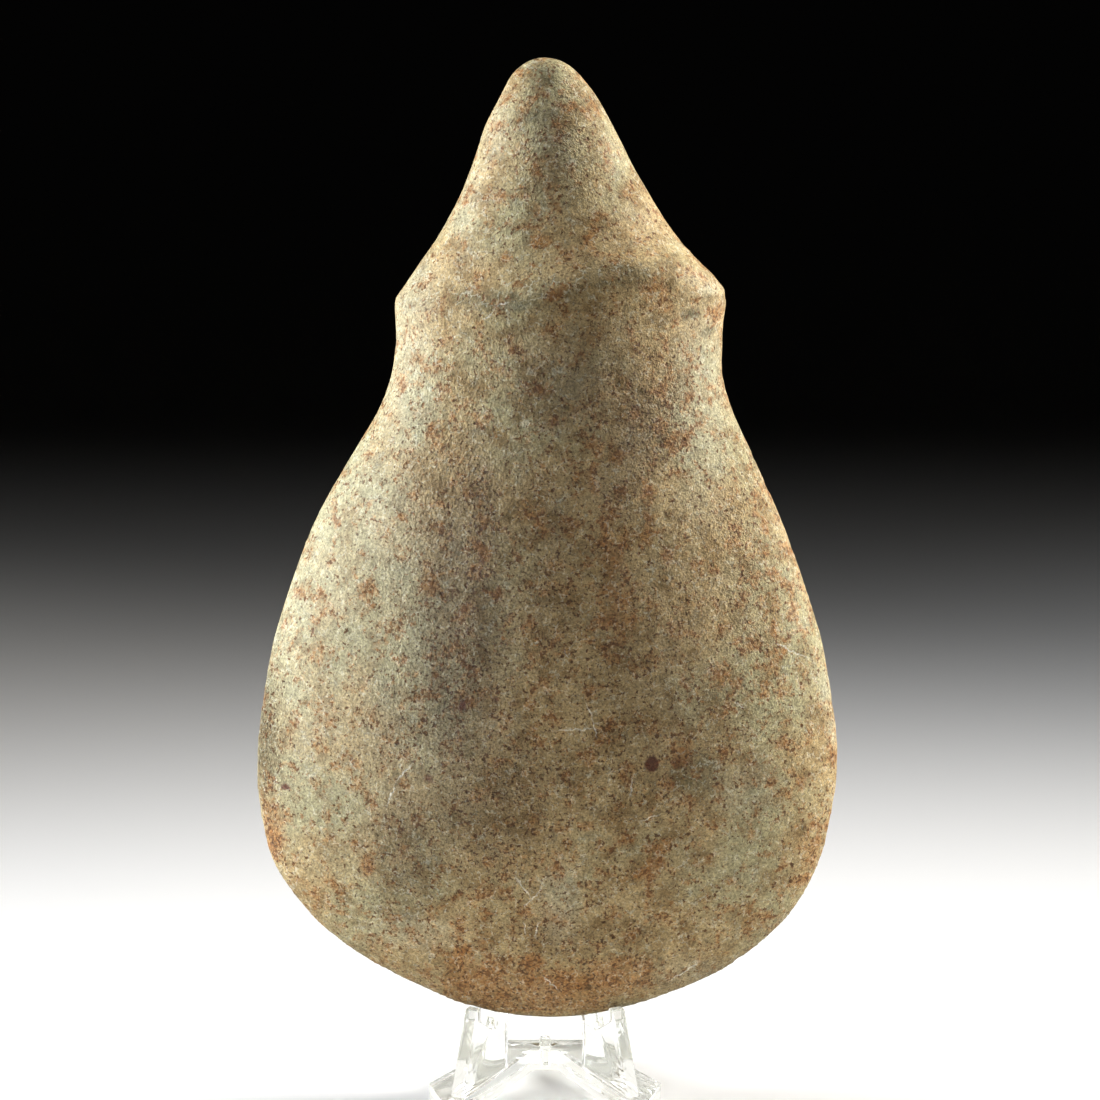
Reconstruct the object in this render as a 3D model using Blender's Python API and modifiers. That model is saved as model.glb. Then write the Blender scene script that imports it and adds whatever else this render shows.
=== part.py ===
"""A ground stone celt standing on a clear two-legged display stand.

The frame is in metres, +Z up. The front faces -Y, and +X is on the right of
someone who looks at the front. The origin is on the underside of the stand's
slab, at the middle of the bridge that joins its two arms.
"""
import math

import bmesh
import bpy
from mathutils import Matrix, Vector
from mathutils.bvhtree import BVHTree

# Gap that is left between two solids that touch, and how closely their contact is looked for
TOUCH_GAP = 0.0003
CONTACT_STEP = 0.0015

# Celt: overall sizes, and how it leans back in the stand
CELT_WIDTH = 0.1578
CELT_THICKNESS = 0.0524
CELT_LEAN = math.radians(7.5)
# Celt: from the lowest point of the edge up to the keel of the shoulder, and from there to the tip
BLADE_LENGTH = 0.1960
BUTT_LENGTH = 0.0646

# Celt: the keel is worn round. In front it rises a little, and climbs more on the right
KEEL_ROUNDING = 0.0016
KEEL_FADE = 0.0048
KEEL_RISE = 0.0030
KEEL_CLIMB = 0.0105
KEEL_REACH = 0.0125

# Celt: its outline below the keel. Each row is a share of the blade's length, then how
# far the left and the right edge lie from the axis as shares of the width
BLADE_OUTLINE = (
    (0.000, -0.017, 0.017),
    (0.015, 0.124, 0.137),
    (0.037, 0.195, 0.225),
    (0.060, 0.253, 0.289),
    (0.082, 0.306, 0.335),
    (0.150, 0.408, 0.426),
    (0.241, 0.478, 0.481),
    (0.363, 0.496, 0.504),
    (0.508, 0.472, 0.481),
    (0.642, 0.421, 0.430),
    (0.718, 0.380, 0.394),
    (0.775, 0.339, 0.361),
    (0.863, 0.276, 0.314),
    (0.907, 0.259, 0.302),
    (0.949, 0.254, 0.302),
    (1.000, 0.256, 0.309),
)
# Celt: its outline from the keel up to the blunt tip of the butt
BUTT_OUTLINE = (
    (0.000, 0.256, 0.309),
    (0.085, 0.231, 0.291),
    (0.181, 0.204, 0.252),
    (0.315, 0.169, 0.208),
    (0.448, 0.141, 0.174),
    (0.581, 0.120, 0.144),
    (0.714, 0.102, 0.117),
    (0.843, 0.075, 0.087),
    (0.911, 0.061, 0.066),
    (0.976, 0.034, 0.036),
    (1.000, 0.002, -0.002),
)
# Celt: how thick it is along the same lengths, as a share of the greatest thickness
BLADE_DEPTH = (
    (0.000, 0.000),
    (0.015, 0.105),
    (0.050, 0.250),
    (0.128, 0.480),
    (0.253, 0.745),
    (0.383, 0.915),
    (0.532, 1.000),
    (0.665, 0.995),
    (0.798, 0.945),
    (0.904, 0.885),
    (0.960, 0.870),
    (1.000, 0.890),
)
BUTT_DEPTH = (
    (0.000, 0.890),
    (0.110, 0.785),
    (0.275, 0.675),
    (0.475, 0.565),
    (0.675, 0.455),
    (0.840, 0.330),
    (0.940, 0.215),
    (0.984, 0.115),
    (1.000, 0.000),
)
# Celt: how the front and back swell across the width. 0.5 gives an ellipse, 1 a lens
BLADE_SWELL = 0.66
NECK_SWELL = 0.60
BUTT_SWELL = 0.52

# Celt: how finely the solid is divided
CELT_SIDES = 56
BLADE_RINGS = 40
BUTT_RINGS = 20

# Stand: sheet thicknesses, and the polished arris on every edge
SLAB_THICKNESS = 0.006
PLATE_THICKNESS = 0.0032
ARRIS = 0.0003

# Uprights: plan. The two plates spread towards the front
PLATE_TURN = math.radians(24.5)
FOOT_SPREAD = 0.0227
FOOT_FRONT = 0.0457
FOOT_LENGTH = 0.030

# Uprights: profile, with heights above the slab
PLATE_RAKE = math.radians(23.7)
LIP_HEIGHT = 0.0225
LIP_WIDTH = 0.0031
NOTCH_DEPTH = 0.0044
SEAT_LENGTH = 0.0089
SEAT_DROP = 0.0054
ARM_WIDTH = 0.0080
ARM_MEETING_GAP = 0.0015
PLATE_CORNER = 0.0009

# Slab: plan
BRIDGE_DEPTH = 0.0090
BACK_WIDTH = 0.0208
CORNER_LEDGE = 0.0120
CORNER_SETBACK = 0.0142
NOTCH_LEDGE = 0.0003
TIP_LEDGE = 0.0022
SLAB_CORNER = 0.0010

# Peg: pressed in a blind hole in the bridge
PEG_RADIUS = 0.0016
PEG_STANDING = 0.0030
PEG_SUNK = 0.0050
PEG_BEHIND_NOTCH = 0.0027
PEG_SIDES = 32


def clear_scene():
    for old in list(bpy.context.scene.objects):
        bpy.data.objects.remove(old, do_unlink=True)


def make_collection(name):
    collection = bpy.data.collections.new(name)
    bpy.context.scene.collection.children.link(collection)
    return collection


def make_material(name, colour, roughness, alpha=1.0, transmission=0.0, ior=1.5):
    material = bpy.data.materials.new(name)
    material.use_nodes = True
    shader = material.node_tree.nodes["Principled BSDF"]
    shader.inputs["Base Color"].default_value = (*colour, 1.0)
    shader.inputs["Roughness"].default_value = roughness
    shader.inputs["Metallic"].default_value = 0.0
    shader.inputs["Alpha"].default_value = alpha
    shader.inputs["Transmission Weight"].default_value = transmission
    shader.inputs["IOR"].default_value = ior
    return material


def smooth_between(stations, column, closes_low):
    """Return a function of the length share that runs smoothly through one column of a table.

    Shares are turned into an angle first, so that the outline closes squarely
    at its far end: the low one, or else the high one. The slopes are limited,
    so that no bump appears between two stations.
    """

    def angle(share):
        inside = min(1.0, max(0.0, share))
        return math.acos(1.0 - inside) if closes_low else math.asin(inside)

    ts = [angle(row[0]) for row in stations]
    values = [row[column] for row in stations]
    steps = [ts[i + 1] - ts[i] for i in range(len(ts) - 1)]
    rises = [(values[i + 1] - values[i]) / steps[i] for i in range(len(steps))]
    slopes = [rises[0]]
    for i in range(1, len(steps)):
        before, after = rises[i - 1], rises[i]
        if before * after <= 0.0:
            slopes.append(0.0)
        else:
            slopes.append(2.0 * before * after / (before + after))
    slopes.append(rises[-1])

    def value(share):
        t = angle(share)
        i = 0
        while i < len(steps) - 1 and t > ts[i + 1]:
            i += 1
        u = (t - ts[i]) / steps[i]
        rest = 1.0 - u
        return (values[i] * rest * rest * (1.0 + 2.0 * u) + values[i + 1] * u * u * (3.0 - 2.0 * u)
                + steps[i] * u * rest * (slopes[i] * rest - slopes[i + 1] * u))

    return value


def celt_section_function():
    """Return a function that gives left edge, right edge and half thickness at a height."""
    blade = [smooth_between(BLADE_OUTLINE, 1, True), smooth_between(BLADE_OUTLINE, 2, True),
             smooth_between(BLADE_DEPTH, 1, True)]
    butt = [smooth_between(BUTT_OUTLINE, 1, False), smooth_between(BUTT_OUTLINE, 2, False),
            smooth_between(BUTT_DEPTH, 1, False)]
    scales = (CELT_WIDTH, CELT_WIDTH, CELT_THICKNESS / 2)

    def crisp(height):
        if height <= BLADE_LENGTH:
            return [column(height / BLADE_LENGTH) for column in blade]
        return [column((height - BLADE_LENGTH) / BUTT_LENGTH) for column in butt]

    def section(height):
        near = max(0.0, 1.0 - abs(height - BLADE_LENGTH) / KEEL_FADE)
        reach = KEEL_ROUNDING * near
        rounds = [crisp(height - reach), crisp(height), crisp(height + reach)]
        return [scale * (low + 2.0 * middle + high) / 4.0
                for scale, low, middle, high in zip(scales, *rounds)]

    return section


def ring_height(index):
    """Height of a ring, counted from the lowest point. Rings crowd at the ends and the keel."""
    if index <= BLADE_RINGS:
        return BLADE_LENGTH * (1.0 - math.cos(math.pi * index / BLADE_RINGS)) / 2
    over = (index - BLADE_RINGS) / BUTT_RINGS
    return BLADE_LENGTH + BUTT_LENGTH * (1.0 - math.cos(math.pi * over)) / 2


def swell_at(height):
    """How full the section is: lens-like in the blade, nearly round in the butt."""
    if height <= BLADE_LENGTH:
        return BLADE_SWELL + (NECK_SWELL - BLADE_SWELL) * (height / BLADE_LENGTH) ** 2
    return NECK_SWELL + (BUTT_SWELL - NECK_SWELL) * (height - BLADE_LENGTH) / BUTT_LENGTH


def keel_lift(height, across):
    """How far the front is moved up beside the keel. across runs from -1 on the left to 1."""
    near_keel = math.exp(-((height - BLADE_LENGTH) / KEEL_REACH) ** 2)
    return near_keel * (1.0 - across * across) * (KEEL_RISE + KEEL_CLIMB * across)


def build_celt_mesh():
    """Shape a sphere, ring by ring, into the celt. It stands on its edge with its axis along +Z."""
    section = celt_section_function()
    rings = BLADE_RINGS + BUTT_RINGS
    mesh = bpy.data.meshes.new("celt")
    shape = bmesh.new()
    bmesh.ops.create_uvsphere(shape, u_segments=CELT_SIDES, v_segments=rings, radius=1.0)
    for vertex in shape.verts:
        polar = math.acos(min(1.0, max(-1.0, vertex.co.z)))
        ring = rings - round(polar * rings / math.pi)
        height = ring_height(ring)
        at_pole = ring in (0, rings)
        around = math.atan2(vertex.co.y, vertex.co.x)
        across = 0.0 if at_pole else math.cos(around)
        out = 0.0 if at_pole else math.sin(around)
        left, right, depth = section(height)
        swell = math.copysign(abs(out) ** (2.0 * swell_at(height)), out)
        lift = keel_lift(height, across) if out < 0.0 else 0.0
        vertex.co = Vector(((right - left) / 2 + across * (right + left) / 2, swell * depth, height + lift))
    bmesh.ops.recalc_face_normals(shape, faces=shape.faces)
    shape.to_mesh(mesh)
    shape.free()
    return mesh


def rounded_outline(corners, radius, steps=4):
    """Replace each corner of a polygon by an arc of the given radius, or less at a short side."""
    points = []
    count = len(corners)
    for i, corner in enumerate(corners):
        here = Vector(corner)
        to_last = Vector(corners[i - 1]) - here
        to_next = Vector(corners[(i + 1) % count]) - here
        half = to_last.angle(to_next) / 2
        cut = min(radius / math.tan(half), 0.45 * to_last.length, 0.45 * to_next.length)
        arc_radius = cut * math.tan(half)
        bisector = (to_last.normalized() + to_next.normalized()).normalized()
        centre = here + bisector * (arc_radius / math.sin(half))
        start = here + to_last.normalized() * cut - centre
        end = here + to_next.normalized() * cut - centre
        turn = start.angle_signed(end)
        for k in range(steps + 1):
            points.append(centre + Matrix.Rotation(-turn * k / steps, 2) @ start)
    return points


def plate_mesh(name, points, thickness):
    """Cut a flat outline from sheet: a filled 2D curve, extruded, then made a clean mesh."""
    curve = bpy.data.curves.new(name, "CURVE")
    curve.dimensions = "2D"
    curve.fill_mode = "BOTH"
    curve.extrude = thickness / 2
    spline = curve.splines.new("POLY")
    spline.points.add(len(points) - 1)
    for point, place in zip(spline.points, points):
        point.co = (place[0], place[1], 0.0, 1.0)
    spline.use_cyclic_u = True
    guide = bpy.data.objects.new(name + "_outline", curve)
    bpy.context.scene.collection.objects.link(guide)
    bpy.context.view_layer.update()
    evaluated = guide.evaluated_get(bpy.context.evaluated_depsgraph_get())
    mesh = bpy.data.meshes.new_from_object(evaluated)
    mesh.name = name
    bpy.data.objects.remove(guide, do_unlink=True)
    shape = bmesh.new()
    shape.from_mesh(mesh)
    bmesh.ops.remove_doubles(shape, verts=shape.verts, dist=1e-6)
    bmesh.ops.recalc_face_normals(shape, faces=shape.faces)
    shape.to_mesh(mesh)
    shape.free()
    return mesh


def add_piece(name, mesh, material, collection, place):
    piece = bpy.data.objects.new(name, mesh)
    piece.matrix_world = place
    piece.data.materials.append(material)
    collection.objects.link(piece)
    return piece


def add_arris(piece):
    bevel = piece.modifiers.new("arris", "BEVEL")
    bevel.width = ARRIS
    bevel.segments = 1
    bevel.limit_method = "ANGLE"
    bevel.angle_limit = math.radians(50)


def upright_profile():
    """Outline of an upright in its own plane: x runs back from the foot's front, y runs up."""
    rake = math.tan(PLATE_RAKE)
    lip_front = rake * LIP_HEIGHT
    lip_back = lip_front + LIP_WIDTH
    seat_front_height = LIP_HEIGHT - NOTCH_DEPTH
    seat_back = lip_back + SEAT_LENGTH
    seat_back_height = seat_front_height - SEAT_DROP
    # The arms run up until their rear corners nearly meet in the middle
    rear_reach = (FOOT_SPREAD - ARM_MEETING_GAP / 2) / math.sin(PLATE_TURN)
    square_off = ARM_WIDTH * math.cos(PLATE_RAKE) * math.sin(PLATE_RAKE)
    front_reach = rear_reach - ARM_WIDTH * math.cos(PLATE_RAKE) ** 2
    arm_height = seat_back_height + (front_reach - seat_back) / rake
    rear_height = seat_back_height + (FOOT_LENGTH - seat_back - ARM_WIDTH) / rake
    return (
        (0.0, 0.0),
        (lip_front, LIP_HEIGHT),
        (lip_back, LIP_HEIGHT),
        (lip_back, seat_front_height),
        (seat_back, seat_back_height),
        (front_reach, arm_height),
        (rear_reach, arm_height - square_off),
        (FOOT_LENGTH, rear_height),
        (FOOT_LENGTH, 0.0),
    )


def upright_place(side):
    """World matrix of an upright. side is 1 on the right and -1 on the left."""
    back = Vector((-side * math.sin(PLATE_TURN), math.cos(PLATE_TURN), 0.0))
    up = Vector((0.0, 0.0, 1.0))
    across = back.cross(up)
    outward = side * across
    foot = Vector((side * FOOT_SPREAD, -FOOT_FRONT, SLAB_THICKNESS + TOUCH_GAP))
    foot += outward * (PLATE_THICKNESS / 2)
    place = Matrix((back, up, across)).transposed().to_4x4()
    place.translation = foot
    return place


def slab_outline():
    """Plan of the slab, worked out from where the uprights stand."""
    slope = math.tan(PLATE_TURN)
    bridge_front = -BRIDGE_DEPTH / 2
    inner_front = FOOT_SPREAD - NOTCH_LEDGE / math.cos(PLATE_TURN)
    notch_half = inner_front - slope * (bridge_front + FOOT_FRONT)
    tip = -FOOT_FRONT - TIP_LEDGE
    tip_inner = inner_front + slope * TIP_LEDGE
    outer_front = FOOT_SPREAD + PLATE_THICKNESS / math.cos(PLATE_TURN)
    corner_y = -FOOT_FRONT + CORNER_SETBACK
    corner_half = outer_front - slope * CORNER_SETBACK + CORNER_LEDGE
    tip_outer = outer_front + slope * TIP_LEDGE
    back = BRIDGE_DEPTH / 2
    right_side = (
        (notch_half, bridge_front),
        (tip_inner, tip),
        (tip_outer, tip),
        (corner_half, corner_y),
        (BACK_WIDTH / 2, back),
    )
    left_side = tuple((-x, y) for x, y in reversed(right_side))
    return right_side + left_side


def round_bar_mesh(name, radius, length):
    mesh = bpy.data.meshes.new(name)
    shape = bmesh.new()
    bmesh.ops.create_cone(shape, cap_ends=True, segments=PEG_SIDES, radius1=radius, radius2=radius,
                          depth=length)
    shape.to_mesh(mesh)
    shape.free()
    return mesh


def build_stand(collection, cutters, clear):
    slab_place = Matrix.Translation((0.0, 0.0, SLAB_THICKNESS / 2))
    slab_points = rounded_outline(slab_outline(), SLAB_CORNER)
    slab = add_piece("stand_base", plate_mesh("stand_base", slab_points, SLAB_THICKNESS), clear,
                     collection, slab_place)

    peg_y = -BRIDGE_DEPTH / 2 + PEG_BEHIND_NOTCH
    hole_floor = SLAB_THICKNESS - PEG_SUNK
    hole_top = SLAB_THICKNESS + PEG_STANDING
    hole_mesh = round_bar_mesh("peg_hole", PEG_RADIUS + TOUCH_GAP, hole_top - hole_floor)
    hole = bpy.data.objects.new("peg_hole", hole_mesh)
    hole.matrix_world = Matrix.Translation((0.0, peg_y, (hole_floor + hole_top) / 2))
    hole.hide_render = True
    hole.display_type = "WIRE"
    cutters.objects.link(hole)
    add_arris(slab)
    cut = slab.modifiers.new("peg hole", "BOOLEAN")
    cut.operation = "DIFFERENCE"
    cut.solver = "EXACT"
    cut.object = hole

    peg_floor = hole_floor + TOUCH_GAP
    peg_length = hole_top - peg_floor
    peg = add_piece("stand_peg", round_bar_mesh("stand_peg", PEG_RADIUS, peg_length), clear.copy(),
                    collection, Matrix.Translation((0.0, peg_y, peg_floor + peg_length / 2)))
    add_arris(peg)

    profile = rounded_outline(upright_profile(), PLATE_CORNER)
    for name, side in (("stand_upright_left", -1), ("stand_upright_right", 1)):
        upright = add_piece(name, plate_mesh(name, profile, PLATE_THICKNESS), clear.copy(), collection,
                            upright_place(side))
        add_arris(upright)


def cradle_points():
    """Points along the edges of both uprights that could touch the celt."""
    profile = upright_profile()[1:6]
    points = []
    for side in (-1, 1):
        place = upright_place(side)
        for face in (-PLATE_THICKNESS / 2, PLATE_THICKNESS / 2):
            for (x0, y0), (x1, y1) in zip(profile, profile[1:]):
                steps = max(2, round(math.hypot(x1 - x0, y1 - y0) / CONTACT_STEP))
                for k in range(steps + 1):
                    share = k / steps
                    points.append(place @ Vector((x0 + (x1 - x0) * share, y0 + (y1 - y0) * share, face)))
    return points


def celt_rest_place(mesh):
    """Let the leaning celt down into the notches, to where it sits lowest."""
    tree = BVHTree.FromPolygons([v.co.copy() for v in mesh.vertices],
                                [tuple(p.vertices) for p in mesh.polygons])
    turn = Matrix.Rotation(-CELT_LEAN, 4, "X")
    points = cradle_points()

    def clearance(y, z):
        into_celt = (Matrix.Translation((0.0, y, z)) @ turn).inverted()
        least = 1.0
        for point in points:
            local = into_celt @ point
            spot, normal, _, distance = tree.find_nearest(local)
            signed = math.copysign(distance, (local - spot).dot(normal))
            least = min(least, signed)
        return least

    def lowest_z(y):
        low, high = SLAB_THICKNESS, SLAB_THICKNESS + LIP_HEIGHT + CELT_THICKNESS
        for _ in range(18):
            middle = (low + high) / 2
            if clearance(y, middle) < TOUCH_GAP:
                low = middle
            else:
                high = middle
        return high

    # Its lowest point ends up over the seats: behind the lips and in front of the arms
    _, _, lip_back, _, seat_back = upright_profile()[:5]
    front = (upright_place(1) @ Vector((*lip_back, 0.0))).y
    back = (upright_place(1) @ Vector((*seat_back, 0.0))).y
    for _ in range(24):
        first = front + (back - front) / 3
        second = back - (back - front) / 3
        if lowest_z(first) < lowest_z(second):
            back = second
        else:
            front = first
    y = (front + back) / 2
    return Matrix.Translation((0.0, y, lowest_z(y))) @ turn


def main():
    clear_scene()
    pieces = make_collection("petaloid_celt")
    cutters = make_collection("cutters")
    stone = make_material("ground_stone", (0.27, 0.20, 0.115), 0.55)
    clear = make_material("clear_acrylic", (0.97, 0.98, 0.96), 0.03, alpha=0.35, transmission=1.0, ior=1.49)
    build_stand(pieces, cutters, clear)
    celt_mesh = build_celt_mesh()
    celt = add_piece("celt", celt_mesh, stone, pieces, celt_rest_place(celt_mesh))
    celt.data.shade_smooth()
    celt.data.set_sharp_from_angle(angle=math.radians(35))
    bpy.context.view_layer.update()


main()
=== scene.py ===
import math

import bpy
import numpy as np
from mathutils import Euler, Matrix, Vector
from mathutils.kdtree import KDTree


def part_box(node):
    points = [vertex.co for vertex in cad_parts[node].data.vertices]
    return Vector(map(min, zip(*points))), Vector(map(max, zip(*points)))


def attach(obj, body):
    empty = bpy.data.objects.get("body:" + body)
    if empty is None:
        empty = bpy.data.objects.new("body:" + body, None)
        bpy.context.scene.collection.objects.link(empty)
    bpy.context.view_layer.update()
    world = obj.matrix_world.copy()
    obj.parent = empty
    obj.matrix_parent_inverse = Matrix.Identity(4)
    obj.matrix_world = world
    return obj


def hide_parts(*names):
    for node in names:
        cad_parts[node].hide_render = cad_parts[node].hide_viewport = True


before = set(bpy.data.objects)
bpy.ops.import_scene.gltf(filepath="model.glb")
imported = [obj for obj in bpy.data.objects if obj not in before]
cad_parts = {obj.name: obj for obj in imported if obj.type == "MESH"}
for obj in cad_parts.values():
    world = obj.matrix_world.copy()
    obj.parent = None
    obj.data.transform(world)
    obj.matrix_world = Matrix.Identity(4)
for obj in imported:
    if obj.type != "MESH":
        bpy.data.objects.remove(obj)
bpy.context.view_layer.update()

# Slab of the stand: clear cast acrylic sheet, sawn to a V in plan. Its edges are flame polished,
# which rounds every arris a little. It lies flat and carries the two uprights and the small peg.
MM = 0.001
MERGE_REACH = 0.001 * MM
HAIRLINE = 0.01 * MM
ARRIS_ROUNDING = 0.12 * MM
ARRIS_FACETS = 2
ARRIS_ANGLE = math.radians(30)
SMOOTH_ANGLE = math.radians(32)
FLAT_ANGLE = math.radians(0.5)
HOLE_SEARCH = 0.6 * MM
CLEAR_ACRYLIC = "#f9faf7"
ACRYLIC_TINT = "#ecebdf"
TINT_DENSITY = 3.0
ACRYLIC_IOR = 1.49
POLISHED_ROUGHNESS = 0.012
SMUDGED_ROUGHNESS = 0.07
SMUDGE_SIZE = 9.0 * MM
SMUDGE_START = 0.45
SMUDGE_FULL = 0.8
SAW_RIPPLE = 0.9 * MM
RIPPLE_DEPTH = 0.01 * MM
RIPPLE_STRENGTH = 0.25


def linear(hex_colour):
    """An sRGB hex colour as linear RGBA."""
    channels = [int(hex_colour[i:i + 2], 16) / 255 for i in (1, 3, 5)]
    return [c / 12.92 if c <= 0.04045 else ((c + 0.055) / 1.055) ** 2.4 for c in channels] + [1.0]


def add_node(tree, kind, settings=None, inputs=None):
    """Add one node. A socket among the inputs is linked, and any other value is set."""
    node = tree.nodes.new(kind)
    for name, value in (settings or {}).items():
        setattr(node, name, value)
    for name, value in (inputs or {}).items():
        if isinstance(value, bpy.types.NodeSocket):
            tree.links.new(value, node.inputs[name])
        else:
            node.inputs[name].default_value = value
    return node


def start_from(node, name):
    """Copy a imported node's shape into a new piece, merged, without its material, ready to edit."""
    bpy.ops.object.select_all(action="DESELECT")
    piece = bpy.data.objects.new(name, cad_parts[node].data.copy())
    bpy.context.scene.collection.objects.link(piece)
    bpy.context.view_layer.objects.active = piece
    piece.select_set(True)
    piece.data.materials.clear()
    bpy.ops.mesh.customdata_custom_splitnormals_clear()
    bpy.ops.object.mode_set(mode="EDIT")
    bpy.ops.mesh.select_all(action="SELECT")
    bpy.ops.mesh.remove_doubles(threshold=MERGE_REACH)
    bpy.ops.object.mode_set(mode="OBJECT")
    return piece


def finish_piece(piece, material, node):
    """Give a piece its material, attach it to the root body, and hide the node it stands for."""
    piece.data.materials.append(material)
    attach(piece, "root")
    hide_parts(node)


def polish_edges(piece):
    """Turn a sheet's faces back into single flats, then round its arrises as a flame does."""
    bpy.ops.object.mode_set(mode="EDIT")
    bpy.ops.mesh.select_all(action="SELECT")
    bpy.ops.mesh.dissolve_limited(angle_limit=FLAT_ANGLE)
    bpy.ops.object.mode_set(mode="OBJECT")
    rounding = piece.modifiers.new("flame polish", "BEVEL")
    rounding.width = ARRIS_ROUNDING
    rounding.segments = ARRIS_FACETS
    rounding.limit_method = "ANGLE"
    rounding.angle_limit = ARRIS_ANGLE
    bpy.ops.object.modifier_apply(modifier=rounding.name)
    bpy.ops.object.shade_smooth_by_angle(angle=SMOOTH_ANGLE)


# Cast acrylic is clear with a hint of green through its length. Handling leaves faint smudges, and
# the saw leaves a ripple too shallow to see except where a highlight runs along an edge.
acrylic = bpy.data.materials.new("cast_acrylic_flame_polished")
acrylic.use_nodes = True
tree = acrylic.node_tree
shader = tree.nodes["Principled BSDF"]
shader.inputs["Base Color"].default_value = linear(CLEAR_ACRYLIC)
shader.inputs["IOR"].default_value = ACRYLIC_IOR
shader.inputs["Transmission Weight"].default_value = 1.0
place = add_node(tree, "ShaderNodeTexCoord").outputs["Object"]
smudges = add_node(tree, "ShaderNodeTexNoise", None,
                   {"Vector": place, "Scale": 1 / SMUDGE_SIZE, "Detail": 4.0, "Roughness": 0.6})
haze = add_node(tree, "ShaderNodeMapRange", None,
                {"Value": smudges.outputs["Fac"], "From Min": SMUDGE_START, "From Max": SMUDGE_FULL,
                 "To Min": POLISHED_ROUGHNESS, "To Max": SMUDGED_ROUGHNESS})
tree.links.new(haze.outputs["Result"], shader.inputs["Roughness"])
ripple = add_node(tree, "ShaderNodeTexNoise", None,
                  {"Vector": place, "Scale": 1 / SAW_RIPPLE, "Detail": 1.0})
bump = add_node(tree, "ShaderNodeBump", None,
                {"Height": ripple.outputs["Fac"], "Strength": RIPPLE_STRENGTH, "Distance": RIPPLE_DEPTH})
tree.links.new(bump.outputs["Normal"], shader.inputs["Normal"])
absorption = add_node(tree, "ShaderNodeVolumeAbsorption", None,
                      {"Color": linear(ACRYLIC_TINT), "Density": TINT_DENSITY})
tree.links.new(absorption.outputs["Volume"], tree.nodes["Material Output"].inputs["Volume"])

slab = start_from("stand_base", "slab")
# The hole closes on the peg, which was pressed in
peg_low, peg_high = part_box("stand_peg")
peg_axis = (peg_low + peg_high) / 2
peg_radius = (peg_high.x - peg_low.x) / 2
for vertex in slab.data.vertices:
    out = Vector((vertex.co.x - peg_axis.x, vertex.co.y - peg_axis.y, 0.0))
    if out.length < peg_radius + HOLE_SEARCH:
        shrunk = out.normalized() * (peg_radius + HAIRLINE)
        vertex.co.x = peg_axis.x + shrunk.x
        vertex.co.y = peg_axis.y + shrunk.y
        if vertex.co.z < peg_low.z:
            vertex.co.z = peg_low.z - HAIRLINE
polish_edges(slab)
finish_piece(slab, acrylic, "stand_base")

# Peg: a short round pin of the same acrylic, pressed into a blind hole behind the notch.
peg = start_from("stand_peg", "peg")
polish_edges(peg)
finish_piece(peg, acrylic, "stand_peg")

# Uprights: two plates of thinner acrylic sheet, cut with a lip, a seat and a long raked arm, and
# solvent welded to the slab, so that each foot shows no gap and no arris where it meets the slab.
FOOT_TRIM = 0.4 * MM
slab_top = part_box("stand_base")[1].z
for side in ("left", "right"):
    node = "stand_upright_" + side
    upright = start_from(node, "upright_" + side)
    trim_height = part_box(node)[0].z + FOOT_TRIM
    bpy.ops.object.mode_set(mode="EDIT")
    bpy.ops.mesh.select_all(action="SELECT")
    bpy.ops.mesh.bisect(plane_co=(0, 0, trim_height), plane_no=(0, 0, 1), use_fill=True,
                        clear_inner=True)
    bpy.ops.object.mode_set(mode="OBJECT")
    for vertex in upright.data.vertices:
        if vertex.co.z < trim_height + MERGE_REACH:
            vertex.co.z = slab_top + HAIRLINE
    polish_edges(upright)
    finish_piece(upright, acrylic, node)

# Celt: one piece of fine-grained greenish grey stone, pecked to shape and then ground. It is worn
# matt, with small open pits, rust-brown specks, ochre stains and pale scratches from the ground.
SURFACE_CELL = 0.95 * MM
QUAD_ANGLE = math.radians(60)
ROUNDING_LEVELS = 2
ROUNDING_PASSES = 4
SMOOTHING_SHARE = 0.5
SMOOTHING_PASSES = 2

celt = start_from("celt", "celt_stone")
celt_low, celt_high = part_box("celt")
bpy.ops.object.mode_set(mode="EDIT")
bpy.ops.mesh.select_all(action="SELECT")
bpy.ops.mesh.tris_convert_to_quads(face_threshold=QUAD_ANGLE, shape_threshold=QUAD_ANGLE)
bpy.ops.object.mode_set(mode="OBJECT")
rounding = celt.modifiers.new("ground round", "SUBSURF")
rounding.levels = ROUNDING_LEVELS
rounding.render_levels = ROUNDING_LEVELS


def read_vectors(mesh, layer="vertices", field="co"):
    """The places of a mesh's vertices, or their normals, as an array."""
    values = np.zeros(len(mesh.vertices) * 3, np.float32)
    getattr(mesh, layer).foreach_get(field, values)
    return values.reshape(-1, 3).astype(float)


# Rounding shrinks a form, so the corners move out until the round form passes through their places
corners = read_vectors(celt.data)
moved = corners.copy()
for _ in range(ROUNDING_PASSES):
    rounded = celt.evaluated_get(bpy.context.evaluated_depsgraph_get()).data
    moved += corners - read_vectors(rounded)[:len(corners)]
    celt.data.vertices.foreach_set("co", moved.astype(np.float32).ravel())
    celt.data.update()
bpy.ops.object.modifier_apply(modifier=rounding.name)
remesh = celt.modifiers.new("even surface", "REMESH")
remesh.mode = "VOXEL"
remesh.voxel_size = SURFACE_CELL
bpy.ops.object.modifier_apply(modifier=remesh.name)
smoothing = celt.modifiers.new("even surface", "SMOOTH")
smoothing.factor = SMOOTHING_SHARE
smoothing.iterations = SMOOTHING_PASSES
bpy.ops.object.modifier_apply(modifier=smoothing.name)

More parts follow.
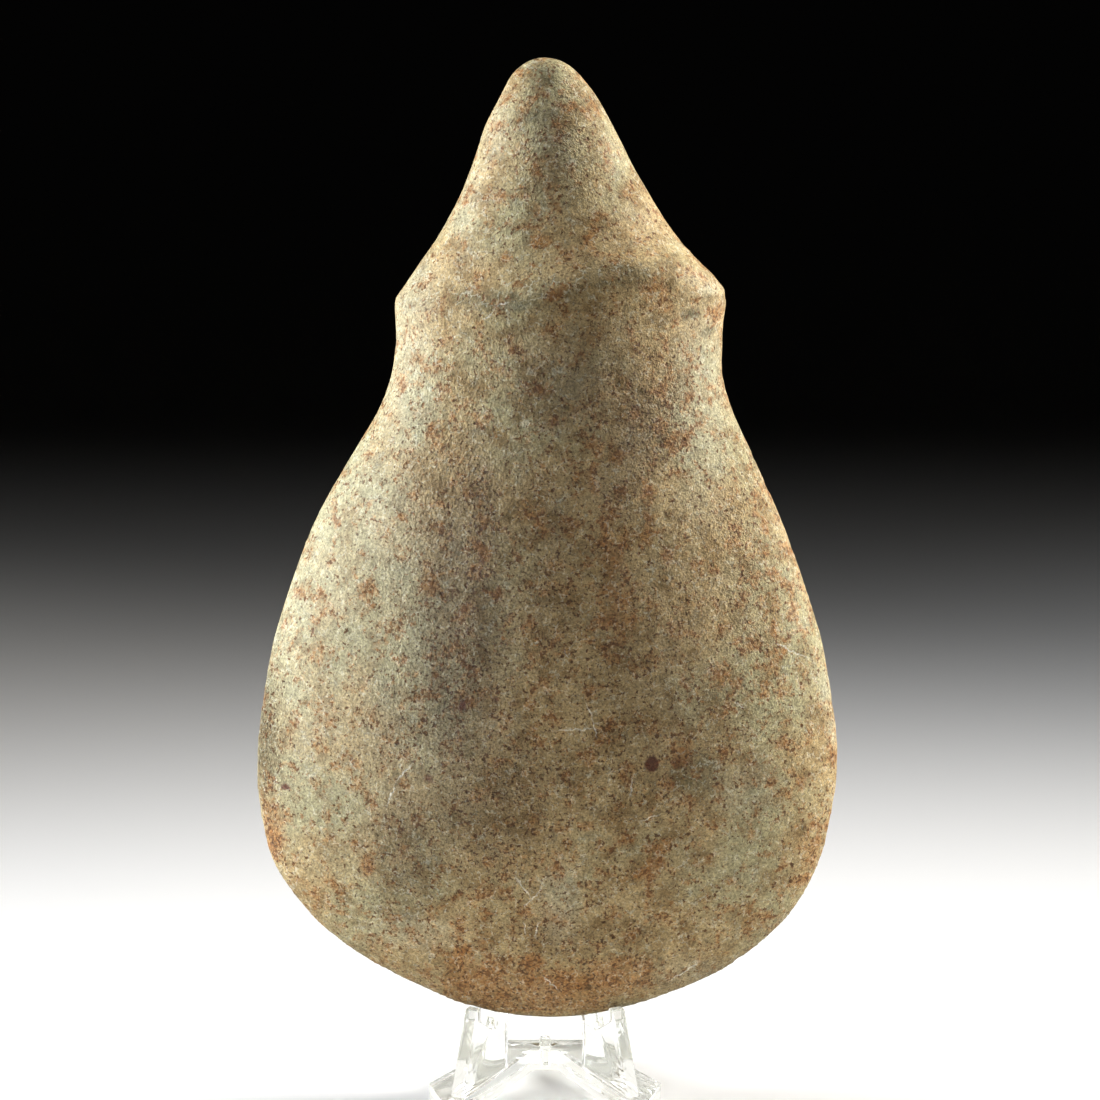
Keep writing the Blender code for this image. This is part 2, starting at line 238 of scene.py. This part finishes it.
# Grinding left long low waves, and pecking short ones: name, size along the surface, height
RELIEF = (
    ("grinding", 21.0 * MM, 0.55 * MM),
    ("pecking", 3.4 * MM, 0.16 * MM),
)
for name, size, height in RELIEF:
    texture = bpy.data.textures.new(name, "CLOUDS")
    texture.noise_scale = size
    relief = celt.modifiers.new(name, "DISPLACE")
    relief.texture = texture
    relief.texture_coords = "LOCAL"
    relief.strength = height
    bpy.ops.object.modifier_apply(modifier=relief.name)

# Pits all over and nicks along the blade's rim are shallow bowls. Radius and depth are in mm
PIT_COUNT = 420
PIT_RADII = (0.9, 2.0)
PIT_DEPTHS = (0.08, 0.28)
NICK_COUNT = 60
NICK_RADII = (0.9, 2.6)
NICK_DEPTHS = (0.06, 0.26)
BOWL_SHAPE = 1.5
RIM_FACING = 0.45
KEEL_SHARE = 0.752
points = read_vectors(celt.data)
normals = read_vectors(celt.data, "vertex_normals", "vector")
finder = KDTree(len(points))
for index, point in enumerate(points):
    finder.insert(point, index)
finder.balance()
sunk = np.zeros(len(points))
chance = np.random.default_rng(seed=7)


def press_bowls(centres, radii, depths):
    """Press a shallow bowl into the stone's surface round each of these points of it."""
    for centre in centres:
        radius = chance.uniform(*radii) * MM
        depth = chance.uniform(*depths) * MM
        for _, index, distance in finder.find_range(points[centre], radius):
            bowl = depth * max(1 - (distance / radius) ** 2, 0) ** BOWL_SHAPE
            sunk[index] = max(sunk[index], bowl)


press_bowls(chance.integers(0, len(points), PIT_COUNT), PIT_RADII, PIT_DEPTHS)
keel_height = celt_low.z + KEEL_SHARE * (celt_high.z - celt_low.z)
rim = np.nonzero((abs(normals[:, 1]) < RIM_FACING) & (points[:, 2] < keel_height))[0]
press_bowls(chance.choice(rim, NICK_COUNT), NICK_RADII, NICK_DEPTHS)
points -= normals * sunk[:, None]

# The keel keeps a crisp arris at both shoulders, where the photograph shows the section change
KEEL_LEFT = Vector((-39.5, 0, 219.9)) * MM
KEEL_RIGHT = Vector((44.5, 0, 222.0)) * MM
LEFT_STEP = 0.1 * MM
RIGHT_STEP = 0.7 * MM
STEP_BAND = 1.5 * MM
STEP_FADE = 32 * MM
STEP_START = 0.6
keel_slope = (KEEL_RIGHT.z - KEEL_LEFT.z) / (KEEL_RIGHT.x - KEEL_LEFT.x)
from_keel = points[:, 2] - KEEL_LEFT.z - (points[:, 0] - KEEL_LEFT.x) * keel_slope
sideways = np.clip(abs(points[:, 0]) / STEP_FADE - STEP_START, 0, 1)
step = np.where(points[:, 0] < 0, -LEFT_STEP, RIGHT_STEP)
points[:, 0] += sideways * step * np.exp(-(from_keel / STEP_BAND) ** 2)
celt.data.vertices.foreach_set("co", points.astype(np.float32).ravel())
celt.data.update()

# Stains and painted shade of the front: x and height of the middle, half width, half height, all in mm,
# and strength.
# RUST is the ochre cutting edge and the rust round single grains
RUST = (
    (-14, 35, 15, 9, 1.0), (4, 34, 16, 8, 1.0), (19, 38, 11, 7, 1.0), (-3.5, 43, 4, 3, 1.0),
    (-22, 43, 4, 5, 0.9), (-23, 54, 3, 6, 0.6), (-73, 77, 4, 9, 0.8), (-75, 87, 3, 6, 0.5),
    (75, 82, 4, 7, 0.5), (72, 71, 5, 7, 0.6), (67, 62, 7, 6, 0.5), (59, 52, 8, 4, 0.5),
    (18, 156, 5, 8, 0.6), (19, 143, 6, 8, 0.7), (17, 131, 5, 6, 0.5), (13, 174, 2, 2, 0.9),
    (12, 188, 3, 6, 0.5), (23, 183, 3, 2.5, 0.5), (-1, 237, 4, 2, 0.8), (6, 271, 3, 2, 0.5),
    (-2, 245, 1.3, 2.2, 0.9), (13, 239, 2, 2.5, 0.5), (11, 83, 2.5, 1.7, 1.0), (6, 78, 1.5, 2, 0.8),
    (32, 77, 3, 3, 0.7), (-48, 70, 2.5, 4, 0.9), (4, 68, 3, 1.5, 0.7), (27, 69, 3, 2, 0.6),
    (17, 111, 1.2, 2, 0.8), (46, 216, 3, 4, 0.7), (-56, 127, 4, 4, 0.5), (-22, 120, 8, 3, 0.3),
    (-30, 153, 3, 3, 0.4), (-17, 152, 3, 4, 0.4), (-7, 181, 3, 2.5, 0.5), (60, 151, 6, 16, 0.35),
    (53, 145, 4, 3, 0.4), (41, 146, 5, 4, 0.4), (62, 135, 16, 45, 0.35), (37, 101.5, 2.8, 3.2, 1.0),
    (32, 94, 3, 2, 0.6), (33, 200, 8, 20, 0.3),
)
# SHADE_AND_GRIME is painted shade in a band along the keel and at the butt's tip, where the surface faces
# up away from the side lights, and grime in hollows of the blade
SHADE_AND_GRIME = (
    (-14, 222, 12, 3, 0.8), (3, 225.5, 10, 3.2, 0.55), (19, 228.5, 11, 3.2, 0.75), (-30, 219, 9, 2.5, 0.4),
    (-77, 104, 4, 20, 0.5), (-36, 74, 10, 17, 0.55), (-27, 86, 6, 9, 0.5), (-39, 68, 6, 8, 0.4),
    (-12, 155, 5, 16, 0.2), (0, 279, 4, 2.5, 0.7), (-1, 269, 4, 2, 0.7), (4, 263, 4, 3, 0.5),
    (41, 97, 8, 7, 0.7), (70, 79, 1, 1.5, 0.9), (39, 217, 3, 1.6, 0.9), (44, 212, 2, 1, 0.9),
    (19, 131, 5, 6, 0.4), (30, 154, 5, 8, 0.3), (-20, 86, 5, 2.5, 0.4), (47, 107, 7, 3, 0.4),
    (4, 165, 4, 5, 0.4),
)
# SOIL_AND_SHADE is soil in the middle, where more of the pecking is left, and partly painted shade that
# darkens the middle where it turns away from the side lights. It has the softest borders
SOIL_AND_SHADE = (
    (-22, 135, 12, 46, 1.0), (8, 200, 18, 14, 0.6), (24, 190, 10, 12, 0.7), (-14, 92, 18, 25, 0.7),
    (26, 112, 22, 46, 0.5), (0, 150, 16, 40, 0.5), (2, 262, 9, 12, 0.3), (18, 146, 7, 20, 0.5),
    (20, 176, 9, 14, 0.6), (-36, 77, 11, 18, 0.5), (-24, 110, 7, 30, 0.7), (-18, 162, 7, 24, 0.9),
    (26, 190, 8, 14, 0.9), (-38, 110, 8, 16, 0.5), (4, 97, 7, 10, 0.6), (10, 50, 22, 8, 0.5),
    (-76, 104, 5, 22, 0.6), (52, 150, 9, 30, 0.3),
)
# SPOTS are small and reddish black, and only on the front
SPOTS = (
    (28.5, 100, 1.7, 2.1, 1.0), (35.5, 100, 2.2, 2.0, 0.35), (-22, 116, 1.0, 1.6, 0.8),
    (-8, 117, 2, 1.4, 0.35), (-70, 90, 1.4, 0.8, 0.8), (-31, 96, 1.5, 1.3, 0.5), (-13, 118, 1, 1, 0.6),
)
# PALE_AND_SHEEN is where the skin is rubbed or bruised, and the wide patch on the left flank is a painted
# sheen where the left light falls
PALE_AND_SHEEN = (
    (-50, 130, 30, 55, 0.5), (-42, 160, 12, 22, 0.7), (41, 196, 7, 28, 0.6), (-14, 268, 5, 10, 0.5),
    (-22, 250, 5, 14, 0.5), (-37, 200, 8, 24, 0.7), (-36, 222, 7, 10, 0.7), (-55, 142, 9, 16, 0.6),
    (44, 214, 6, 10, 0.4), (-60, 110, 11, 10, 0.6), (-66, 117, 7, 11, 0.5), (-35, 51, 13, 5, 0.5),
    (4, 60, 5, 11, 0.6), (39, 38, 10, 5, 0.5), (26, 42, 2.2, 1.3, 0.6), (54, 91, 8, 7, 0.4),
    (44, 223, 3.5, 1.8, 0.9), (-9, 220.6, 4.8, 0.8, 0.9), (76, 115, 2, 5, 0.8), (78, 104, 1.6, 4, 0.8),
    (-39, 89, 7, 3.4, 0.4), (41, 169, 8, 7, 0.3), (1.6, 36.6, 2.4, 1, 1.0),
)
FACING_RAMP = 4
FRONT_FALLOFF = 0.7
BACK_FALLOFF = 0.9
BACK_MARKS = 26
BACK_SIZES = (1.5, 9.0)
BACK_STRETCH = (1, 0.5, 0.7)
BACK_STRENGTHS = (0.4, 1.0)


def store_amount(name, amount):
    """Keep one number for each point of the stone, which its material reads by this name."""
    attribute = celt.data.attributes.new(name, "FLOAT", "POINT")
    attribute.data.foreach_set("value", amount.astype(np.float32))


def write_stain_and_shade(name, marks, behind_strength, crispness=2):
    """Paint stains, painted shade and painted sheen on the front at these marks, and on the back, which is
    hidden from the camera, at random ones.
    """
    strength = np.zeros(len(points))
    front = np.clip(-normals[:, 1] * FACING_RAMP, 0, 1)
    for x, height, half_width, half_height, amount in marks:
        across = (points[:, 0] / MM - x) / half_width
        upward = (points[:, 2] / MM - height) / half_height
        away = across ** 2 + upward ** 2
        strength = np.maximum(strength, amount * front * np.exp(-FRONT_FALLOFF * away ** crispness))
    back = np.clip(normals[:, 1] * FACING_RAMP, 0, 1)
    for _ in range(BACK_MARKS):
        index = chance.integers(0, len(points))
        size = chance.uniform(*BACK_SIZES) * MM
        away = np.linalg.norm((points - points[index]) * BACK_STRETCH, axis=1) / size
        amount = behind_strength * chance.uniform(*BACK_STRENGTHS)
        strength = np.maximum(strength, amount * back * np.exp(-BACK_FALLOFF * away ** 2))
    store_amount(name, strength)


write_stain_and_shade("rust", RUST, 0.8)
write_stain_and_shade("shade_and_grime", SHADE_AND_GRIME, 0.6)
write_stain_and_shade("soil_and_shade", SOIL_AND_SHADE, 0.8, 1)
write_stain_and_shade("spot", SPOTS, 0.0)
write_stain_and_shade("pale_and_sheen", PALE_AND_SHEEN, 0.6)
FULL_DEPTH = 0.25 * MM
store_amount("sunk", (sunk / FULL_DEPTH).clip(0, 1))
# Painted shade: the stone is darker where its surface faces down, along the underside of the cutting edge
UNDERSIDE_SHADE_RAMP = 1.6
UNDERSIDE_SHADE_START = 0.35
store_amount("underside_shade", (-normals[:, 2] * UNDERSIDE_SHADE_RAMP - UNDERSIDE_SHADE_START).clip(0, 1))
bpy.ops.object.shade_smooth()

# Weathered greenstone: a fine mixture of pale feldspar and dark hornblende grains, which reads as
# olive beige speckle from a step away. Grains that fell out left brown pits in rusty clusters, and
# scuffs from the ground left short pale curls.
STONE_BEIGE = "#b9a070"
STONE_GREEN = "#a9a67f"
STONE_BROWN = "#86683c"
STONE_SLATE = "#74705a"
# Soil brown, which also paints shade into the middle where it turns away from the side lights
SOIL_AND_SHADE_BROWN = "#705322"
# Pale grains and rubbed skin, and also a painted sheen on the left flank
PALE_GRAIN_AND_SHEEN = "#d0ccb4"
PIT_DARK = "#573613"
RUST_SPECK = "#955f2a"
RUST_WASH = "#a97741"
# This dark olive is grime in pits, and also the painted shade along the keel, at the butt's tip and under
# the cutting edge
SOOT_AND_SHADE = "#4d482a"
SPOT_RED = "#5c2c12"
SCRATCH_PALE = "#ebe6d4"
STONE_SPECULAR = 0.35
RUBBED_ROUGHNESS = 0.55
DRY_ROUGHNESS = 0.78
DRY_START = 0.3
DRY_FULL = 0.7

stone = bpy.data.materials.new("ground_greenstone_weathered")
stone.use_nodes = True
tree = stone.node_tree
shader = tree.nodes["Principled BSDF"]
place = add_node(tree, "ShaderNodeTexCoord").outputs["Object"]
patterns = {name: add_node(tree, "ShaderNodeAttribute", {"attribute_name": name}).outputs["Fac"]
            for name in ("rust", "shade_and_grime", "soil_and_shade", "spot", "pale_and_sheen", "sunk", "underside_shade")}

NOISES = {
    # name: feature size, detail, roughness, how far the pattern is shifted
    "zones": (34 * MM, 3.0, 0.55, 0.3),
    "patches": (7 * MM, 4.0, 0.6, 1.7),
    "clusters": (5 * MM, 3.0, 0.6, 5.3),
    "slate": (5 * MM, 3.0, 0.6, 6.1),
    "mottle": (2.4 * MM, 4.0, 0.7, 2.9),
    "crumbs": (1.35 * MM, 2.0, 0.6, 7.7),
    "crystals": (0.85 * MM, 1.5, 0.6, 9.2),
    "grain": (0.65 * MM, 2.5, 0.8, 4.1),
}
for name, (size, detail, roughness, offset) in NOISES.items():
    shifted = add_node(tree, "ShaderNodeVectorMath", {"operation": "ADD"},
                       {0: place, 1: (offset, offset, offset)})
    patterns[name] = add_node(tree, "ShaderNodeTexNoise", None,
                              {"Vector": shifted.outputs[0], "Scale": 1 / size, "Detail": detail,
                               "Roughness": roughness}).outputs["Fac"]

# A small warp makes round pits and straight scratches irregular
WARP_SIZE = 1.6 * MM
WARP_REACH = 2.6 * MM
warp = add_node(tree, "ShaderNodeTexNoise", None,
                {"Vector": place, "Scale": 1 / WARP_SIZE, "Detail": 3.0, "Roughness": 0.6})
centred = add_node(tree, "ShaderNodeVectorMath", {"operation": "SUBTRACT"},
                   {0: warp.outputs["Color"], 1: (0.5, 0.5, 0.5)})
warped = add_node(tree, "ShaderNodeVectorMath", {"operation": "MULTIPLY_ADD"},
                  {0: centred.outputs[0], 1: (WARP_REACH, WARP_REACH, WARP_REACH), 2: place}).outputs[0]

SPECKS = {
    # name: spacing of the specks, radius as a share of the spacing, share of cells that hold one
    "pits": (2.3 * MM, 0.30, 0.45),
    "flecks": (1.1 * MM, 0.40, 0.40),
}
SPECK_CRISPNESS = 3.0
for name, (spacing, radius, share) in SPECKS.items():
    cells = add_node(tree, "ShaderNodeTexVoronoi", None,
                     {"Vector": warped, "Scale": 1 / spacing, "Randomness": 1.0})
    lot = add_node(tree, "ShaderNodeSeparateColor", None, {"Color": cells.outputs["Color"]})
    reach = add_node(tree, "ShaderNodeMapRange", None,
                     {"Value": lot.outputs["Red"], "From Min": 1.0, "From Max": 1.0 - share,
                      "To Min": radius, "To Max": 0.0})
    speck = add_node(tree, "ShaderNodeMapRange", None,
                     {"Value": cells.outputs["Distance"], "From Min": reach.outputs["Result"],
                      "From Max": 0.0, "To Min": 0.0, "To Max": SPECK_CRISPNESS})
    patterns[name] = speck.outputs["Result"]

CURL_SPACING = 2.8 * MM
curls = add_node(tree, "ShaderNodeTexVoronoi", {"feature": "DISTANCE_TO_EDGE"},
                 {"Vector": warped, "Scale": 1 / CURL_SPACING})
patterns["curls"] = curls.outputs["Distance"]

# Scratches on the front: both ends in mm, x and height. Each is a thin blade set into the stone
SCRATCHES = (
    (-35.5, 99.6, -40, 94.4), (-40, 94.4, -42.3, 87), (3.2, 109.8, 13.8, 110), (12.5, 113.5, 14.1, 107.5),
    (5.1, 131, 6.1, 129.5), (50.7, 115.2, 53.7, 113.6), (23.7, 97, 22.4, 90.7), (25.1, 84, 30.7, 86.2),
    (61.9, 129.6, 71, 124.7), (-1.1, 64.5, -5.9, 59.4), (-1.3, 55.3, -2.7, 50.5), (-5.7, 55.2, -5.1, 51.6),
    (34, 36.1, 41.5, 41.4), (-0.5, 38.5, 3.5, 34.7), (-7.8, 68.8, -3.8, 61.8),
    (-13, 220.6, -9.5, 221.6), (-16.5, 216.8, -14, 219), (11, 117, 13, 112.5),
)
SCRATCH_HALF_WIDTH = 0.24 * MM
SCRATCH_SETBACK = 12 * MM
SCRATCH_REACH = 30 * MM
FAR_OFF = 9.0
nearest = FAR_OFF
for x0, z0, x1, z1 in SCRATCHES:
    middle = ((x0 + x1) / 2 * MM, celt_low.y + SCRATCH_SETBACK, (z0 + z1) / 2 * MM)
    half_length = math.hypot(x1 - x0, z1 - z0) * MM / 2
    turn = -math.atan2(z1 - z0, x1 - x0)
    along = add_node(tree, "ShaderNodeMapping", {"vector_type": "TEXTURE"},
                     {"Vector": warped, "Location": middle, "Rotation": (0.0, turn, 0.0),
                      "Scale": (half_length, SCRATCH_REACH, SCRATCH_HALF_WIDTH)})
    away = add_node(tree, "ShaderNodeVectorMath", {"operation": "LENGTH"}, {0: along.outputs[0]})
    nearest = add_node(tree, "ShaderNodeMath", {"operation": "MINIMUM"},
                       {0: away.outputs["Value"], 1: nearest}).outputs[0]
patterns["scratches"] = nearest

# Colours that are laid over the beige, in turn: the colour, the patterns that are added up for it,
# the sum where it starts, the sum where it is full, and how much of it there is then
LAYERS = (
    (STONE_GREEN, {"zones": 1.0, "pale_and_sheen": 0.14, "soil_and_shade": -0.13}, 0.45, 0.62, 0.7),
    (STONE_BROWN, {"patches": 1.0, "pale_and_sheen": -0.05, "soil_and_shade": 0.03}, 0.49, 0.63, 0.6),
    # soil, and painted shade darkening the middle
    (SOIL_AND_SHADE_BROWN, {"soil_and_shade": 1.0, "patches": 1.0}, 0.5, 1.6, 0.55),
    (STONE_SLATE, {"slate": 1.0, "mottle": 0.6}, 0.86, 1.0, 0.4),
    # rubbed skin, and a painted sheen on the left flank
    (PALE_GRAIN_AND_SHEEN, {"pale_and_sheen": 1.0}, 0.0, 1.0, 0.3),
    (RUST_WASH, {"rust": 1.0, "patches": 0.8}, 0.85, 1.2, 0.5),
    (RUST_WASH, {"clusters": 1.0, "mottle": 0.8, "rust": 0.18, "soil_and_shade": 0.05}, 0.96, 1.12, 0.5),
    # painted shade along the keel and at the butt's tip, and grime in hollows of the blade
    (SOOT_AND_SHADE, {"shade_and_grime": 1.0}, 0.0, 1.0, 0.25),
    (SOOT_AND_SHADE, {"mottle": 1.0, "crumbs": 0.5, "shade_and_grime": 0.42}, 0.85, 1.20, 0.75),
    (PALE_GRAIN_AND_SHEEN, {"flecks": 1.0}, 0.0, 1.0, 0.45),
    (PALE_GRAIN_AND_SHEEN, {"curls": -1.0, "mottle": 0.5}, 0.21, 0.27, 0.4),
    (RUST_SPECK, {"crumbs": 1.0, "clusters": 0.45, "rust": 0.10}, 0.84, 0.90, 0.6),
    (PIT_DARK, {"crystals": 1.0, "crumbs": 0.4, "clusters": 0.5, "rust": 0.06, "soil_and_shade": 0.09},
     1.08, 1.14, 0.85),
    (RUST_WASH, {"pits": 1.0, "clusters": 1.5}, 0.80, 1.20, 0.5),
    (PIT_DARK, {"pits": 1.0, "clusters": 1.5}, 0.95, 1.60, 0.85),
    (SOOT_AND_SHADE, {"sunk": 1.0}, 0.0, 1.0, 0.35),
    # painted shade where the surface faces down, under the cutting edge
    (SOOT_AND_SHADE, {"underside_shade": 1.0}, 0.0, 1.0, 0.7),
    (SPOT_RED, {"spot": 1.0, "mottle": 0.6}, 0.45, 0.9, 0.92),
    (SCRATCH_PALE, {"scratches": -1.0}, -1.3, -0.4, 0.75),
)
colour = linear(STONE_BEIGE)
for layer_colour, weights, start, full, most in LAYERS:
    total = 0.0
    for name, weight in weights.items():
        total = add_node(tree, "ShaderNodeMath", {"operation": "MULTIPLY_ADD"},
                         {0: patterns[name], 1: weight, 2: total}).outputs[0]
    amount = add_node(tree, "ShaderNodeMapRange", None,
                      {"Value": total, "From Min": start, "From Max": full, "To Max": most})
    colour = add_node(tree, "ShaderNodeMix", {"data_type": "RGBA"},
                      {0: amount.outputs["Result"], 6: colour, 7: linear(layer_colour)}).outputs[2]

# Single grains are lighter or darker than their surroundings: pattern, its lowest and highest
# value, and how far the shade goes either way
SHADES = (
    ("grain", 0.32, 0.68, 0.5),
    ("mottle", 0.3, 0.7, 0.26),
)
for name, low, high, contrast in SHADES:
    shade = add_node(tree, "ShaderNodeMapRange", None,
                     {"Value": patterns[name], "From Min": low, "From Max": high,
                      "To Min": 1 - contrast, "To Max": 1 + contrast})
    colour = add_node(tree, "ShaderNodeVectorMath", {"operation": "SCALE"},
                      {0: colour, "Scale": shade.outputs["Result"]}).outputs[0]
tree.links.new(colour, shader.inputs["Base Color"])
wear = add_node(tree, "ShaderNodeMapRange", None,
                {"Value": patterns["patches"], "From Min": DRY_START, "From Max": DRY_FULL,
                 "To Min": RUBBED_ROUGHNESS, "To Max": DRY_ROUGHNESS})
tree.links.new(wear.outputs["Result"], shader.inputs["Roughness"])
shader.inputs["Specular IOR Level"].default_value = STONE_SPECULAR

# The flanks are rubbed smooth, and the soiled middle keeps more of the pecking
SKIN_DEPTH = 1.8 * MM
RUBBED_STRENGTH = 0.2
PECKED_STRENGTH = 1.0
FULL_SOIL = 0.7
height = patterns["grain"]
for name, weight in (("crumbs", 0.9), ("pits", -0.4)):
    height = add_node(tree, "ShaderNodeMath", {"operation": "MULTIPLY_ADD"},
                      {0: patterns[name], 1: weight, 2: height}).outputs[0]
pecked = add_node(tree, "ShaderNodeMapRange", None,
                  {"Value": patterns["soil_and_shade"], "From Min": 0.0, "From Max": FULL_SOIL,
                   "To Min": RUBBED_STRENGTH, "To Max": PECKED_STRENGTH})
bump = add_node(tree, "ShaderNodeBump", None,
                {"Height": height, "Strength": pecked.outputs["Result"], "Distance": SKIN_DEPTH})
tree.links.new(bump.outputs["Normal"], shader.inputs["Normal"])
finish_piece(celt, stone, "celt")

# Studio: a pale floor in a dark room, lit by a soft light on each side, one above and one over the
# front of the table. Sizes of the studio and the camera are in metres.
FLOOR_SIZE = 9.0
FLOOR_GAP = 0.05 * MM
FLOOR_PALE = "#f5f4f2"
FLOOR_ROUGHNESS = 0.8
bpy.ops.mesh.primitive_plane_add(size=FLOOR_SIZE, location=(0, 0, -FLOOR_GAP))
floor = bpy.context.object
floor.name = "floor"
floor_paint = bpy.data.materials.new("floor_paint")
floor_paint.use_nodes = True
shader = floor_paint.node_tree.nodes["Principled BSDF"]
shader.inputs["Base Color"].default_value = linear(FLOOR_PALE)
shader.inputs["Roughness"].default_value = FLOOR_ROUGHNESS
floor.data.materials.append(floor_paint)

# The narrow spread of the lights above leaves the floor further back in the dark
SOFTBOXES = (
    # name, place, point it faces, width, height, spread in degrees, watts, colour
    ("softbox_left", (-0.85, 0.0, 0.36), (0, 0.0, 0.22), 0.25, 0.60, 60, 2.42, "#f3f8ff"),
    ("softbox_right", (0.85, 0.16, 0.55), (0, 0.0, 0.22), 0.25, 0.60, 60, 2.40, "#fdfaf6"),
    ("softbox_top", (0.0, 0.10, 1.30), (0, 0.0, 0.0), 2.60, 0.40, 65, 1.88, "#ffffff"),
    ("softbox_table", (0.0, -0.50, 0.90), (0, -0.15, 0.0), 2.60, 0.30, 35, 1.10, "#ffffff"),
)
for name, stand, aim, width, height, spread, watts, tint in SOFTBOXES:
    lamp = bpy.data.lights.new(name, "AREA")
    lamp.shape = "RECTANGLE"
    lamp.size = width
    lamp.size_y = height
    lamp.spread = math.radians(spread)
    lamp.energy = watts
    lamp.color = linear(tint)[:3]
    light = bpy.data.objects.new(name, lamp)
    light.location = stand
    light.rotation_euler = (Vector(aim) - Vector(stand)).to_track_quat("-Z", "Y").to_euler()
    bpy.context.scene.collection.objects.link(light)

# The room is dark, but the clear sheets see the white tent round the table
ROOM_LIGHT = 0.001
TENT_LIGHT = 1.15
TENT_WHITE = "#fbf9f5"
world = bpy.data.worlds.new("studio")
world.use_nodes = True
background = world.node_tree.nodes["Background"]
background.inputs["Color"].default_value = linear(TENT_WHITE)
through = add_node(world.node_tree, "ShaderNodeLightPath").outputs["Is Transmission Ray"]
glow = add_node(world.node_tree, "ShaderNodeMapRange", None,
                {"Value": through, "To Min": ROOM_LIGHT, "To Max": TENT_LIGHT})
world.node_tree.links.new(glow.outputs["Result"], background.inputs["Strength"])
bpy.context.scene.world = world

# Camera: in front of the celt at the height of its keel, looking a little down, at the photograph's
# angle. Light passes along a clear sheet by many reflections inside it, so it may bounce often.
CAMERA_DISTANCE = 1.15
CAMERA_TILT = math.radians(12.8)
CAMERA_TARGET = Vector((1.35, -15.5, 152.2)) * MM
FRAME_HALF_WIDTH = 0.1485
LIGHT_BOUNCES = 24
GLOSSY_BOUNCES = 20
camera = bpy.data.objects.new("camera", bpy.data.cameras.new("camera"))
camera.data.angle = 2 * math.atan(FRAME_HALF_WIDTH / CAMERA_DISTANCE)
camera.rotation_euler = Euler((math.pi / 2 - CAMERA_TILT, 0, 0))
camera.location = CAMERA_TARGET + camera.rotation_euler.to_matrix() @ Vector((0, 0, CAMERA_DISTANCE))
bpy.context.scene.collection.objects.link(camera)
bpy.context.scene.camera = camera
bpy.context.scene.view_settings.view_transform = "Standard"
bpy.context.scene.cycles.max_bounces = LIGHT_BOUNCES
bpy.context.scene.cycles.glossy_bounces = GLOSSY_BOUNCES
bpy.context.scene.cycles.transmission_bounces = LIGHT_BOUNCES
